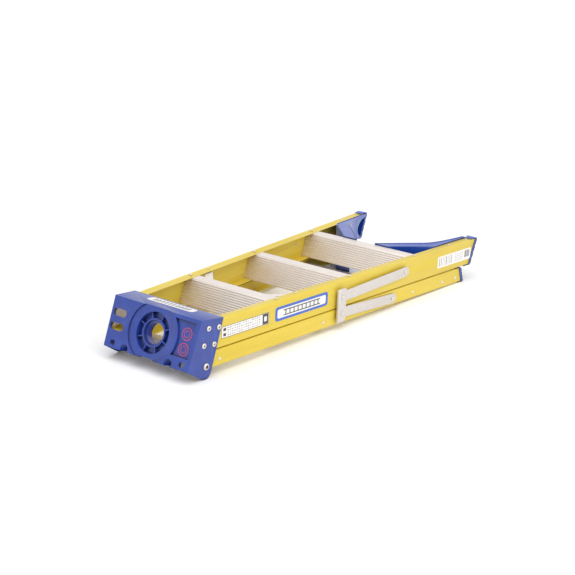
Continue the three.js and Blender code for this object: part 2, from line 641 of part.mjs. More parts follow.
const ladder = new THREE.Group();
mesh(ladder, "top_cap", topCap(), BLUE);
treadNames.forEach((name, i) => mesh(ladder, "step_" + name, tread(i), ALUMINIUM));
for (const [name, x] of Object.entries(crossbarX)) {
  mesh(ladder, "rear_crossbar_" + name, crossBar(x), ALUMINIUM);
}

const shapes = {
  frontRail: toGeometry(frontRail()),
  backing: toGeometry(railBacking()),
  rearRail: toGeometry(rearRail()),
  knee: toGeometry(kneeBrace()),
  arch: toGeometry(archBrace()),
  frontFoot: toGeometry(boot(rail, 0, rail.length, LEAN, frontBoot)),
  frontPad: toGeometry(treadPad(rail, 0, rail.length, LEAN)),
  rearFoot: toGeometry(boot(rear, rearTop, rearLength, -rearLean, rearBoot)),
  rearPad: toGeometry(treadPad(rear, rearTop, rearLength, -rearLean)),
  rearKnee: toGeometry(rearBrace()),
};

function addBraces(half, side) {
  const middle = kneeStart.clone().lerp(kneeEnd, 0.5);
  const at = { x: middle.x, y: middle.y, z: -knee.drop };
  const brace = mesh(half, "knee_brace_" + side, shapes.knee, ALUMINIUM, at);
  brace.rotation.z = kneeEnd.clone().sub(kneeStart).angle();
  mesh(half, "arch_brace_" + side, shapes.arch, BLUE);
  mesh(half, "rear_brace_" + side, shapes.rearKnee, BLUE);
}

function addRails(along, side) {
  const inset = { y: -rear.inset };
  mesh(along, "front_rail_" + side, shapes.frontRail, FIBREGLASS);
  mesh(along, "rail_backing_" + side, shapes.backing, ALUMINIUM);
  mesh(along, "front_foot_" + side, shapes.frontFoot, BLUE);
  mesh(along, "front_tread_" + side, shapes.frontPad, RUBBER);
  mesh(along, "rear_rail_" + side, shapes.rearRail, FIBREGLASS, inset);
  mesh(along, "rear_foot_" + side, shapes.rearFoot, BLUE, inset);
  mesh(along, "rear_tread_" + side, shapes.rearPad, RUBBER, inset);
}

function addFasteners(along, side) {
  const capFace = GAP + cap.wall + GAP;
  const rivetLength = capFace + rail.wall + GAP + backing.thickness + capRivet.tail;
  capRivets.forEach((at, i) => {
    const rivet = rivetGeometry(capRivet, rivetLength);
    mesh(along, `cap_rivet_${side}_${i + 1}`, rivet, ALUMINIUM, { x: at.x, y: capFace, z: at.z });
  });
  treadNames.forEach((name, i) => {
    const at = { x: station(treadX(i) + stepRivet.along, stepRivet.inset), y: -stepRivet.inset, z: GAP };
    const shape = rivetGeometry(stepRivet, stepRivet.length);
    mesh(along, `step_rivet_${name}_${side}`, shape, ALUMINIUM, at).rotation.x = Math.PI / 2;
  });
  const bolt = rivetGeometry(pivot, capFace + rear.inset + rear.wall + GAP + pivot.tail);
  mesh(along, "pivot_bolt_" + side, bolt, ZINC, { x: hinge.x, y: capFace, z: hinge.z });
}

function addSpreader(along, side) {
  const pitchOf = (from, to) => -Math.atan2(to.z - from.z, to.x - from.x);
  const frontLength = apart(frontPin, frontLink);
  const frontArm = spreaderBar(frontLength, layer.front, [0, frontLength]);
  mesh(along, "spreader_front_arm_" + side, frontArm, ZINC, frontPin).rotation.y = pitchOf(frontPin, frontLink);
  mesh(along, "spreader_rear_arm_" + side, rearArm(), ZINC, rearPin).rotation.y = pitchOf(rearPin, rearLink);
  mesh(along, "spreader_lock_plate_" + side, lockPlate(), ZINC, frontLink);
  const armPin = (webFace, wall, from) => shoulderPin(webFace + GAP, webFace - wall - pin.inside, from);
  mesh(along, "front_arm_pin_" + side, armPin(0, rail.wall, layer.front), ZINC, frontPin);
  mesh(along, "rear_arm_pin_" + side, armPin(-rear.inset, rear.wall, layer.rear), ZINC, rearPin);
  const plateTop = layer.plate + plate.thickness + GAP;
  const tailUnder = (sheet) => sheet - GAP - pin.tailHeight;
  mesh(along, "front_link_pin_" + side, linkPin(tailUnder(layer.front), plateTop), ZINC, frontLink);
  mesh(along, "rear_link_pin_" + side, linkPin(tailUnder(layer.plate), plateTop), ZINC, rearLink);
}

for (const [side, sign] of [["right", 1], ["left", -1]]) {
  const half = new THREE.Group(); // mirrored for the left
  half.scale.y = sign;
  ladder.add(half);
  const along = new THREE.Group(); // the rail's own frame, turned outwards by the flare
  along.position.set(0, rail.halfWidth, 0);
  along.rotation.z = flareAngle;
  half.add(along);
  addBraces(half, side);
  addRails(along, side);
  addFasteners(along, side);
  addSpreader(along, side);
}

// ---------------------------------------------------------------- lying on the floor
// Folded, the ladder lies on the cap's ears and on its rear feet, so its cap end is a little higher.
const whole = new THREE.Group();
whole.add(ladder);

function earAboveHeel(turn) {
  ladder.rotation.y = turn;
  whole.updateMatrixWorld(true);
  const lowest = (name) => new THREE.Box3().setFromObject(ladder.getObjectByName(name), true).min.z;
  return lowest("top_cap") - lowest("rear_foot_right");
}

let low = -0.1;
let high = 0.1;
for (let i = 0; i < 40; i++) {
  const middle = (low + high) / 2;
  if (earAboveHeel(middle) < 0) low = middle;
  else high = middle;
}
ladder.rotation.y = (low + high) / 2;
whole.updateMatrixWorld(true);
const bounds = new THREE.Box3().setFromObject(ladder, true);
ladder.position.set(-(bounds.min.x + bounds.max.x) / 2, 0, -bounds.min.z);

export default whole;
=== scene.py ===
"""The looks of a folded fibreglass stepladder: moulded blue cap and feet, yellow rails, ribbed treads.

Places are given in the ladder's own axes, in millimetres: X runs down the front rails from the cap, Y runs
across, and Z is 0 on the front face of the front rails. TO_FRAME turns them into the frame's metres.
"""
import json
import math

import bmesh
import bpy
from mathutils import Matrix, Quaternion, Vector


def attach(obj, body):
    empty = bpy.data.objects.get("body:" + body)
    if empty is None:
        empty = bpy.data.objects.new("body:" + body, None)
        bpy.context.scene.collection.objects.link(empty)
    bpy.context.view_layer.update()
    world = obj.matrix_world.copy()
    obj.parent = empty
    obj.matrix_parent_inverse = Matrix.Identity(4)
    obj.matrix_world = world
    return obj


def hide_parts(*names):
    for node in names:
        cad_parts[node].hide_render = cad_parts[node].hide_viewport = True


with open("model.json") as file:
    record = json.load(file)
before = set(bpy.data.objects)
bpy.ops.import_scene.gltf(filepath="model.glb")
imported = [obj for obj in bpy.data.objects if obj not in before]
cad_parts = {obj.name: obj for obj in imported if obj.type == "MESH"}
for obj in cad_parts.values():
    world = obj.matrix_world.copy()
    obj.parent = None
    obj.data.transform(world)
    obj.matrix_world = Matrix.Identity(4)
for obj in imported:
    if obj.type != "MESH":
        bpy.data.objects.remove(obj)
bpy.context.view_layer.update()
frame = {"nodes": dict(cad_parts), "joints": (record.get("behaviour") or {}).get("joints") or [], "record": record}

# ---------------------------------------------------------------- the ladder's sizes, in millimetres
FLARE_ANGLE = math.atan(0.0655)
HALF_WIDTH = 146.5
LEAN = math.radians(20.5)
PIVOT = (15, -115)
FRONT_WALL = 3.2
REAR = {"wall": 3.0, "inset": 0.5}
CROSSBARS = [70, 481.5, 893]
CAP = {"edge": -3, "proud": 12, "back_proud": 4.5, "skirt": 75, "face_plate": 10}
SPREADER_PIN = {"along": 838, "out": 8.75, "z": -32}  # middle of the front arm's sheet, at its pin
BOOT_PLATE = 3.8  # thickness of a boot's plate, with its clearance
# Fasteners that the frame has no solid for: along a rail, then how deep they sit below its front face.
BRACE_RIVETS = {"along": (1081, 1175), "inset": 13}
TREAD_RIVET = 374  # the knee braces' rivet through the flange
FRONT_BOOT_NUTS = {"along": (1135, 1172), "z": -40}
REAR_BOOT_RIVETS = {"along": (1043, 1111), "z": -110}
CROSSBAR_RIVET_Z = -109
APRON_RIVETS = {"across": ((300, 88), (902, 50)), "z": -3.5}  # in the treads' front aprons
# Labels: along a front rail, z, and their size.
STRIP = {"along": 163.5, "z": -40, "width": 179, "height": 32, "window": 76}
BADGE = {"along": 386, "z": -39, "width": 216, "height": 40}
CODE = {"along": 1097.5, "z": -42, "width": 173, "height": 36}
CAP_LABEL = {"x": 52, "width": 160, "height": 30}
TRAY_RINGS = {"across": -110, "down": (43.5, 83.5), "outer": (17, 14.6), "inner": (9.5, 7.8)}
CAP_RIBS = {"across": 82, "down": 62, "apart": 16.0, "thickness": 2.4, "length": 96.0, "depth": 11.0,
            "sunk": 0.5, "edge": 0.5}
TRAY_DEPTH = 7.5
PIVOT_PLAY = 0.6  # room under the pivot nuts, because the rear rails lean as they turn
DIMPLES = {"cap_rivet": 3.2, "pivot_bolt": 2}  # how deep the heads are hollowed
FILM = 0.2  # thickness of a label
TINY = 0.02  # clearance under what is stuck on
SIDES = {"right": 1, "left": -1}

JOINTS = {joint["name"]: joint for joint in frame["joints"]}
SLOTS = {part["node"]: part["material_slot"] for part in frame["record"]["subparts"]}
BODY_OF = {node: body for body, nodes in frame["record"]["behaviour"]["bodies"].items() for node in nodes}


# ---------------------------------------------------------------- from the ladder's axes to the frame
def rail_matrix():
    """From the right rail's own axes, along it, out from its web and up, to the ladder's."""
    return Matrix.Translation((0, HALF_WIDTH, 0)) @ Matrix.Rotation(FLARE_ANGLE, 4, "Z")


def ladder_to_frame():
    """The folded ladder leans a little on the floor; two hinges give its turn and its place."""
    pivot = Vector(JOINTS["fold"]["pos_m"])
    arm = Vector(JOINTS["spreader_front_pivot_right"]["pos_m"])
    own_pivot = Vector((PIVOT[0] * math.cos(FLARE_ANGLE), 0, PIVOT[1])) / 1000
    own_arm = rail_matrix() @ Vector((SPREADER_PIN["along"], SPREADER_PIN["out"], SPREADER_PIN["z"])) / 1000
    slope = math.atan2(arm.z - pivot.z, arm.x - pivot.x)
    own_slope = math.atan2(own_arm.z - own_pivot.z, own_arm.x - own_pivot.x)
    turn = Matrix.Rotation(own_slope - slope, 4, "Y")
    shift = pivot - (turn @ own_pivot)
    shift.y = 0
    return Matrix.Translation(shift) @ turn @ Matrix.Scale(0.001, 4)


TO_FRAME = ladder_to_frame()
# A rail's own axes, mirrored for the left.
ALONG = {name: TO_FRAME @ Matrix.Diagonal((1, side, 1, 1)) @ rail_matrix() for name, side in SIDES.items()}
# The cap's top face: x across, y up the face from its front edge, z into the cap.
CAP_FACE = TO_FRAME @ Matrix.Translation((CAP["edge"], 0, CAP["proud"])) @ Matrix.Rotation(LEAN, 4, "Y")
CAP_FACE = CAP_FACE @ Matrix(((0, 0, 1, 0), (1, 0, 0, 0), (0, 1, 0, 0), (0, 0, 0, 1)))


def on_web(side, along, z):
    """Axes of a label on a rail's outer face: it reads from left to right, with z outwards."""
    facing = Matrix(((-SIDES[side], 0, 0, along), (0, 0, 1, TINY), (0, 1, 0, z), (0, 0, 0, 1)))
    return ALONG[side] @ facing


def on_face(across, down, depth):
    """Axes of a label on the cap's top face, or on a recess in it."""
    return CAP_FACE @ Matrix.Translation((across, -down, depth - TINY)) @ Matrix.Diagonal((-1, 1, -1, 1))


def on_skirt(x):
    """Axes of a label on the cap's front skirt, which slopes a little."""
    fall = math.atan2(CAP["proud"] - CAP["back_proud"], CAP["skirt"] - CAP["edge"])
    z = CAP["proud"] - (x - CAP["edge"]) * math.tan(fall) + TINY
    facing = Matrix(((0, -1, 0, 0), (1, 0, 0, 0), (0, 0, 1, 0), (0, 0, 0, 1)))
    return TO_FRAME @ Matrix.Translation((x, 0, z)) @ Matrix.Rotation(fall, 4, "Y") @ facing


# ---------------------------------------------------------------- nodes
def linear(hex_colour):
    """An sRGB hex colour as linear RGBA."""
    values = [int(hex_colour[i:i + 2], 16) / 255 for i in (1, 3, 5)]
    return [v / 12.92 if v <= 0.04045 else ((v + 0.055) / 1.055) ** 2.4 for v in values] + [1.0]


def add(tree, kind, inputs=None, **settings):
    """Adds a node with its settings, and fills or links its inputs; a list holds sockets for one input."""
    node = tree.nodes.new(kind)
    for key, value in settings.items():
        setattr(node, key, value)
    for key, value in (inputs or {}).items():
        sources = value if isinstance(value, list) else [value]
        if isinstance(sources[0], bpy.types.NodeSocket):
            for source in sources:
                tree.links.new(source, node.inputs[key])
        else:
            node.inputs[key].default_value = value
    return node


def material(name, colour, roughness, metallic=0.0, **sockets):
    """A new material and its shader, with the values that are the same all over."""
    made = bpy.data.materials.new(name)
    made.use_nodes = True
    shader = made.node_tree.nodes["Principled BSDF"]
    shader.inputs["Base Color"].default_value = linear(colour)
    shader.inputs["Roughness"].default_value = roughness
    shader.inputs["Metallic"].default_value = metallic
    for key, value in sockets.items():
        shader.inputs[key.replace("_", " ")].default_value = value
    made.diffuse_color = linear(colour)
    return made, made.node_tree, shader


def per_mm(grain):
    """A texture's scale for a grain of a size in millimetres."""
    return 1000 / grain


# ---------------------------------------------------------------- patterns
def noise(tree, where, grain, detail):
    """Cloudy noise from 0 to 1, of a grain in millimetres."""
    return add(tree, "ShaderNodeTexNoise", {
        "Vector": where, "Scale": per_mm(grain), "Detail": detail}).outputs[0]


def stretched(tree, where, stretch):
    """Coordinates that make a pattern longer by a factor on each axis."""
    return add(tree, "ShaderNodeMapping", {
        "Vector": where, "Scale": [1 / factor for factor in stretch]}).outputs[0]


def spread(tree, value, low, high, to_low=0.0, to_high=1.0):
    """A value from one range taken to another."""
    return add(tree, "ShaderNodeMapRange", {
        "Value": value, "From Min": low, "From Max": high, "To Min": to_low, "To Max": to_high}).outputs[0]


def blend(tree, share, first, second):
    """A colour between two, each a hex colour or another blend."""
    colours = [linear(colour) if isinstance(colour, str) else colour for colour in (first, second)]
    return add(tree, "ShaderNodeMix", {0: share, 6: colours[0], 7: colours[1]}, data_type="RGBA").outputs[2]


def textured(tree, shader, height, colour, gloss, depth, strength):
    """Links a material's relief, of a depth in millimetres, and its colour and roughness where they vary."""
    relief = add(tree, "ShaderNodeBump", {
        "Height": height, "Distance": depth / 1000, "Strength": strength}).outputs[0]
    for socket, source in (("Base Color", colour), ("Roughness", gloss), ("Normal", relief)):
        if source:
            tree.links.new(source, shader.inputs[socket])


# ---------------------------------------------------------------- materials
def fibreglass(side):
    """Pultruded glass-fibre polyester: pigmented through and satin from the die, so it shows faint strands
    along the pull, slow clouds of tone and a few grey scuffs."""
    made, tree, shader = material("pultruded_fibreglass_" + side, "#E0C842", roughness=0.36, IOR=1.54)
    where = add(tree, "ShaderNodeTexCoord").outputs["Object"]
    turned = add(tree, "ShaderNodeMapping", {
        "Vector": where, "Rotation": (0, 0, -SIDES[side] * FLARE_ANGLE)}).outputs[0]
    # glass rovings are finer than this; they are drawn about three times as coarse, so that they show
    strands = noise(tree, stretched(tree, turned, (140, 1, 1)), grain=1.6, detail=4.0)
    long = stretched(tree, turned, (5, 1, 1))
    clouds = noise(tree, long, grain=60, detail=2.0)
    scuffs = noise(tree, long, grain=14, detail=6.0)
    yellow = blend(tree, spread(tree, clouds, 0.3, 0.7), "#DBC03A", "#E4CB4C")
    streaked = blend(tree, spread(tree, strands, 0.5, 0.78, 0.0, 0.5), yellow, "#D0B232")
    scuffed = blend(tree, spread(tree, scuffs, 0.66, 0.74, 0.0, 0.4), streaked, "#BDA552")
    gloss = spread(tree, strands, 0.3, 0.7, 0.32, 0.46)
    textured(tree, shader, strands, scuffed, gloss, depth=0.08, strength=0.5)
    return made


def moulded_polypropylene(name, deep, bright, shade):
    """Injection-moulded polypropylene with a fine grain: a glossy skin that turns pale at a glancing view,
    slight flow clouds, and painted shade: a darker tone mixed in where ambient occlusion finds corners and
    recesses."""
    made, tree, shader = material(name, deep, roughness=0.32, IOR=1.49, Coat_Weight=0.45, Coat_Roughness=0.2,
                                  Sheen_Weight=0.7, Sheen_Roughness=0.25)
    where = add(tree, "ShaderNodeTexCoord").outputs["Object"]
    # the real grit is about 0.3 mm; it is drawn coarser, so that it shows
    grit = noise(tree, where, grain=0.9, detail=2.0)
    clouds = noise(tree, where, grain=35, detail=2.0)
    blue = blend(tree, spread(tree, clouds, 0.3, 0.7), deep, bright)
    # painted shade: the colour turns towards the shade colour where the surface is occluded within 12 mm
    open_air = add(tree, "ShaderNodeAmbientOcclusion", {"Distance": 12 / 1000}, samples=8).outputs["AO"]
    colour = blend(tree, spread(tree, open_air, 0.45, 0.9), shade, blue)
    gloss = spread(tree, grit, 0.3, 0.7, 0.27, 0.40)
    textured(tree, shader, grit, colour, gloss, depth=0.05, strength=0.35)
    return made


def mill_aluminium(name, stretch):
    """Mill-finish aluminium: pale and soft, with fine lines along the way it was extruded or rolled."""
    made, tree, shader = material(name, "#EAE0DA", roughness=0.46, metallic=0.55)
    where = add(tree, "ShaderNodeTexCoord").outputs["Object"]
    lines = noise(tree, stretched(tree, where, stretch), grain=0.9, detail=3.0)
    clouds = noise(tree, where, grain=45, detail=2.0)
    pale = blend(tree, spread(tree, lines, 0.3, 0.7), "#E5DCD6", "#ECE4DF")
    colour = blend(tree, spread(tree, clouds, 0.4, 0.7, 0.0, 0.4), pale, "#E0D6D0")
    gloss = spread(tree, lines, 0.3, 0.7, 0.40, 0.54)
    textured(tree, shader, lines, colour, gloss, depth=0.02, strength=0.2)
    return made


def zinc_plated_steel():
    """Zinc on pressed steel: pale grey, with faint crystals 5 mm across and fine rolling marks."""
    made, tree, shader = material("zinc_plated_steel", "#D8D2CE", roughness=0.48, metallic=0.6)
    where = add(tree, "ShaderNodeTexCoord").outputs["Object"]
    crystals = add(tree, "ShaderNodeTexVoronoi", {"Vector": where, "Scale": per_mm(5)}).outputs["Color"]
    grain = noise(tree, stretched(tree, where, (12, 1, 1)), grain=1.2, detail=3.0)
    colour = blend(tree, crystals, "#D2CCC8", "#DAD4D0")
    gloss = spread(tree, grain, 0.3, 0.7, 0.42, 0.56)
    textured(tree, shader, grain, colour, gloss, depth=0.03, strength=0.3)
    return made


def satin_aluminium():
    """Formed aluminium of rivets and nuts: bright and satin, with a fine grain from the tool."""
    made, tree, shader = material("formed_satin_aluminium", "#DAD4CE", roughness=0.38, metallic=0.8)
    where = add(tree, "ShaderNodeTexCoord").outputs["Object"]
    grain = noise(tree, where, grain=0.7, detail=2.0)
    gloss = spread(tree, grain, 0.3, 0.7, 0.28, 0.46)
    textured(tree, shader, grain, None, gloss, depth=0.02, strength=0.3)
    return made


def hollow_shade_steel():
    """Steel of a rivet's stem and a bolt's socket, drawn dark as painted shade of the heads' hollows; half glossy
    and finely grained.
    """
    made, tree, shader = material("dark_steel_painted_hollow_shade", "#3A3838", roughness=0.5, metallic=0.7)
    where = add(tree, "ShaderNodeTexCoord").outputs["Object"]
    grain = noise(tree, where, grain=0.5, detail=2.0)
    colour = blend(tree, grain, "#2C2A2B", "#4E4B4A")
    textured(tree, shader, grain, colour, None, depth=0.04, strength=0.5)
    return made


def thermoplastic_rubber():
    """Thermoplastic rubber: almost black, matt, with a little pale dust caught in its grain."""
    made, tree, shader = material("thermoplastic_rubber", "#191D30", roughness=0.72, IOR=1.5)
    where = add(tree, "ShaderNodeTexCoord").outputs["Object"]
    grit = noise(tree, where, grain=1.0, detail=3.0)
    dusty = blend(tree, spread(tree, grit, 0.45, 0.8, 0.0, 0.5), "#151828", "#34384C")
    textured(tree, shader, grit, dusty, None, depth=0.15, strength=0.5)
    return made


def vinyl(name, colour, shade):
    """Printed self-adhesive vinyl: even colour under a clear film, with a slight ripple and faint dirt."""
    made, tree, shader = material(name, colour, roughness=0.36, IOR=1.5, Coat_Weight=0.3, Coat_Roughness=0.2)
    where = add(tree, "ShaderNodeTexCoord").outputs["Object"]
    ripple = noise(tree, where, grain=9, detail=2.0)
    dirty = blend(tree, spread(tree, ripple, 0.35, 0.75, 0.0, 0.5), colour, shade)
    textured(tree, shader, ripple, dirty, None, depth=0.04, strength=0.3)
    return made


FIBREGLASS = {side: fibreglass(side) for side in SIDES}
# the third colour of each is painted shade, mixed into occluded corners and recesses
CAP_PLASTIC = moulded_polypropylene("moulded_polypropylene_cap", "#1B388E", "#2242A0", "#0A1850")
FOOT_PLASTIC = moulded_polypropylene("moulded_polypropylene_feet", "#0D3FA0", "#124AB2", "#061C5C")
# a darker blue for the rounded edges of moulded pieces: painted shade along the edges
EDGE_SHADE_PLASTIC = moulded_polypropylene("polypropylene_edges_painted_shade", "#0F1B58", "#152566", "#0A1240")
TREAD_METAL = mill_aluminium("extruded_aluminium", (1, 90, 1))
SHEET_METAL = mill_aluminium("rolled_aluminium", (60, 60, 1))
ZINC = zinc_plated_steel()
RIVET_METAL = satin_aluminium()
HOLLOW_SHADE_STEEL = hollow_shade_steel()
RUBBER = thermoplastic_rubber()
WHITE_VINYL = vinyl("white_vinyl", "#F4F2F0", "#DAD6D2")
BLUE_VINYL = vinyl("blue_vinyl", "#3A66C6", "#3159AE")
DARK_INK = vinyl("dark_ink_on_vinyl", "#2E2C33", "#4A474D")
PALE_INK = vinyl("pale_ink_on_vinyl", "#A6A2A6", "#B8B4B6")
RED_INK = vinyl("red_ink_on_plastic", "#C2475A", "#A83C4E")


# ---------------------------------------------------------------- pieces
CORNER = 38  # degrees; sharper edges are rounded
CREASE = 32  # degrees; sharper edges are not shaded smoothly
MOULDED_CREASE = 25
DOUBLES = 0.002  # millimetres between points that are one


def new_object(name, mesh):
    made = bpy.data.objects.new(name, mesh)
    bpy.context.scene.collection.objects.link(made)
    return made


def baked(obj):
    """Takes the object's modifiers into a plain mesh."""
    graph = bpy.context.evaluated_depsgraph_get()
    mesh = bpy.data.meshes.new_from_object(obj.evaluated_get(graph))
    obj.modifiers.clear()
    obj.data = mesh
    return obj


def round_edges(obj, width):
    """Rounds the edges that are sharper than a corner; the width is in the object's own unit."""
    edge = obj.modifiers.new("rounded edges", "BEVEL")
    edge.width = width
    edge.segments = 2
    edge.limit_method = "ANGLE"
    edge.angle_limit = math.radians(CORNER)


def finished(obj, finish, body, crease=CREASE):
    """Shades a piece smoothly up to a crease angle, gives it its material, and lets it ride on a body."""
    obj.data.shade_smooth()
    obj.data.set_sharp_from_angle(angle=math.radians(crease))
    if finish.name not in obj.data.materials:
        obj.data.materials.clear()
        obj.data.materials.append(finish)
    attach(obj, body)
    return obj


def merged(mesh, distance):
    """Joins a mesh's doubles and clears the lines inside its flat faces."""
    shape = bmesh.new()
    shape.from_mesh(mesh)
    bmesh.ops.remove_doubles(shape, verts=shape.verts, dist=distance)
    bmesh.ops.dissolve_limit(shape, angle_limit=math.radians(0.6), verts=shape.verts, edges=shape.edges)
    made = bpy.data.meshes.new(mesh.name + "_merged")
    shape.to_mesh(made)
    shape.free()
    return made


def finish_of(node):
    """The material of a CAD node and how far its edges are rounded, in millimetres."""
    if node.startswith(("front_rail", "rear_rail")):
        return FIBREGLASS["left" if node.endswith("left") else "right"], 0.5
    if node == "top_cap":
        return CAP_PLASTIC, 1.4
    if node.startswith(("arch_brace", "rear_brace")) or "_foot_" in node:
        return FOOT_PLASTIC, 0.8
    if "_tread_" in node:
        return RUBBER, 0.4
    if "rivet" in node or "pin" in node or "bolt" in node:
        return RIVET_METAL, 0.25
    if node.startswith("spreader"):
        return ZINC, 0.4
    if node.startswith(("step_", "rear_crossbar")):
        return TREAD_METAL, 0.35
    return SHEET_METAL, 0.35


def finish_cad_nodes():
    """A merged copy of each CAD node, its edges rounded as moulding and rolling leave them. On the moulded
    pieces the rounded edges take a darker blue, painted shade along the edges."""
    for node, original in frame["nodes"].items():
        finish, width = finish_of(node)
        made = new_object(node + "_finished", merged(original.data, DOUBLES / 1000))
        made.data.materials.append(finish)
        round_edges(made, width / 1000)
        moulded = SLOTS[node] == "moulded_blue"
        if moulded:
            # painted shade: the bevel's faces take the darker edge material
            made.data.materials.append(EDGE_SHADE_PLASTIC)
            made.modifiers["rounded edges"].material = 1
        baked(made)
        finished(made, finish, BODY_OF[node], MOULDED_CREASE if moulded else CREASE)
        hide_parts(node)


# ---------------------------------------------------------------- geometry nodes
def new_tree(name, inputs):
    """A geometry tree with named inputs; returns it with its group input's sockets."""
    tree = bpy.data.node_groups.new(name, "GeometryNodeTree")
    tree.interface.new_socket("Geometry", in_out="INPUT", socket_type="NodeSocketGeometry")
    for label, kind in inputs.items():
        tree.interface.new_socket(label, in_out="INPUT", socket_type="NodeSocket" + kind)
    tree.interface.new_socket("Geometry", in_out="OUTPUT", socket_type="NodeSocketGeometry")
    return tree, tree.nodes.new("NodeGroupInput").outputs


def finish_tree(tree, instances, finish):
    """Ends a tree: the instances made real, in their material."""
    real = add(tree, "GeometryNodeRealizeInstances", {"Geometry": instances}).outputs[0]
    coated = add(tree, "GeometryNodeSetMaterial", {"Geometry": real, "Material": finish}).outputs[0]
    add(tree, "NodeGroupOutput", {0: coated})


def grown(name, tree, settings, points=None, edge=0.0):
    """An object whose plain mesh is what a tree makes on its points."""
    made = new_object(name, points or bpy.data.meshes.new(name))
    modifier = made.modifiers.new("repeats", "NODES")
    modifier.node_group = tree
    for socket in tree.interface.items_tree:
        if socket.in_out == "INPUT" and socket.name in settings:
            modifier[socket.identifier] = settings[socket.name]
    if edge:
        round_edges(made, edge)
    return baked(made)


def fastener_tree():
    """A head on a washer at every point, turned to the point's own direction."""
    tree, given = new_tree("fastener_heads", {
        "Sides": "Int", "Head radius": "Float", "Crown radius": "Float", "Head height": "Float",
        "Washer radius": "Float", "Washer height": "Float", "Material": "Material"})
    head = add(tree, "GeometryNodeMeshCone", {
        "Vertices": given["Sides"], "Radius Bottom": given["Head radius"],
        "Radius Top": given["Crown radius"], "Depth": given["Head height"]}).outputs[0]
    up = add(tree, "ShaderNodeCombineXYZ", {"Z": given["Washer height"]}).outputs[0]
    raised = add(tree, "GeometryNodeTransform", {"Geometry": head, "Translation": up}).outputs[0]
    washer = add(tree, "GeometryNodeMeshCone", {
        "Vertices": 24, "Radius Bottom": given["Washer radius"], "Radius Top": given["Washer radius"],
        "Depth": given["Washer height"]}).outputs[0]
    both = add(tree, "GeometryNodeJoinGeometry", {0: [raised, washer]}).outputs[0]
    way = add(tree, "GeometryNodeInputNamedAttribute", {
        "Name": "direction"}, data_type="FLOAT_VECTOR").outputs[0]
    turn = add(tree, "FunctionNodeAlignRotationToVector", {"Vector": way}, axis="Z").outputs[0]
    placed = add(tree, "GeometryNodeInstanceOnPoints", {
        "Points": given["Geometry"], "Instance": both, "Rotation": turn}).outputs[0]
    finish_tree(tree, placed, given["Material"])
    return tree


def bar_tree():
    """Rows of flat bars on a grid; each bar's length is a share of its room, no smaller than the least."""
    tree, given = new_tree("rows_of_bars", {
        "Width": "Float", "Height": "Float", "Columns": "Int", "Rows": "Int", "Room": "Float",
        "Least": "Float", "Bar height": "Float", "Thickness": "Float", "Seed": "Int",
        "Material": "Material"})
    grid = add(tree, "GeometryNodeMeshGrid", {
        "Size X": given["Width"], "Size Y": given["Height"], "Vertices X": given["Columns"],
        "Vertices Y": given["Rows"]}).outputs[0]
    bar = add(tree, "GeometryNodeMeshCube", {"Size": (1, 1, 1)}).outputs[0]
    share = add(tree, "FunctionNodeRandomValue", {2: given["Least"], 3: 1.0, "Seed": given["Seed"]},
                data_type="FLOAT").outputs[1]
    length = add(tree, "ShaderNodeMath", {0: share, 1: given["Room"]}, operation="MULTIPLY").outputs[0]
    size = add(tree, "ShaderNodeCombineXYZ", {
        "X": length, "Y": given["Bar height"], "Z": given["Thickness"]})
    placed = add(tree, "GeometryNodeInstanceOnPoints", {
        "Points": grid, "Instance": bar, "Scale": size.outputs[0]}).outputs[0]
    finish_tree(tree, placed, given["Material"])
    return tree


FASTENERS = fastener_tree()
BARS = bar_tree()


# ---------------------------------------------------------------- rivets and nuts
RIVETS = {  # sizes in millimetres
    "flange": {"Sides": 20, "Head radius": 3.4, "Crown radius": 2.3, "Head height": 1.2,
               "Washer radius": 3.8, "Washer height": 0.3},
    "web": {"Sides": 24, "Head radius": 4.3, "Crown radius": 3.0, "Head height": 1.6,
            "Washer radius": 5.0, "Washer height": 0.3},
    "nut": {"Sides": 6, "Head radius": 6.6, "Crown radius": 6.6, "Head height": 4.2,
            "Washer radius": 7.5, "Washer height": 0.8},
    "pivot_nut": {"Sides": 6, "Head radius": 7.0, "Crown radius": 7.0, "Head height": 5.5,
                  "Washer radius": 8.0, "Washer height": 1.0},
    # a rivet's stem in its hollow, drawn dark: partly the real stem, partly painted shade of the hollow
    "mandrel": {"Sides": 16, "Head radius": 2.1, "Crown radius": 1.6, "Head height": 0.6,
                "Washer radius": 2.25, "Washer height": 1.4},
    # a bolt's socket as a dark hex disc: painted shade of the socket's hollow
    "socket": {"Sides": 6, "Head radius": 3.4, "Crown radius": 3.0, "Head height": 0.7,
               "Washer radius": 4.7, "Washer height": 0.4},
}
HOLLOW_SHADE_KINDS = ("mandrel", "socket")
FASTENER_EDGE = 0.25


def dimple_of(node, side, depth):
    """The middle of the floor of a head's dimple, in a rail's own axes."""
    to_rail = ALONG[side].inverted()
    along, out, up = zip(*(to_rail @ vertex.co for vertex in frame["nodes"][node].data.vertices))
    return (min(along) + max(along)) / 2, max(out) - depth + TINY, (min(up) + max(up)) / 2


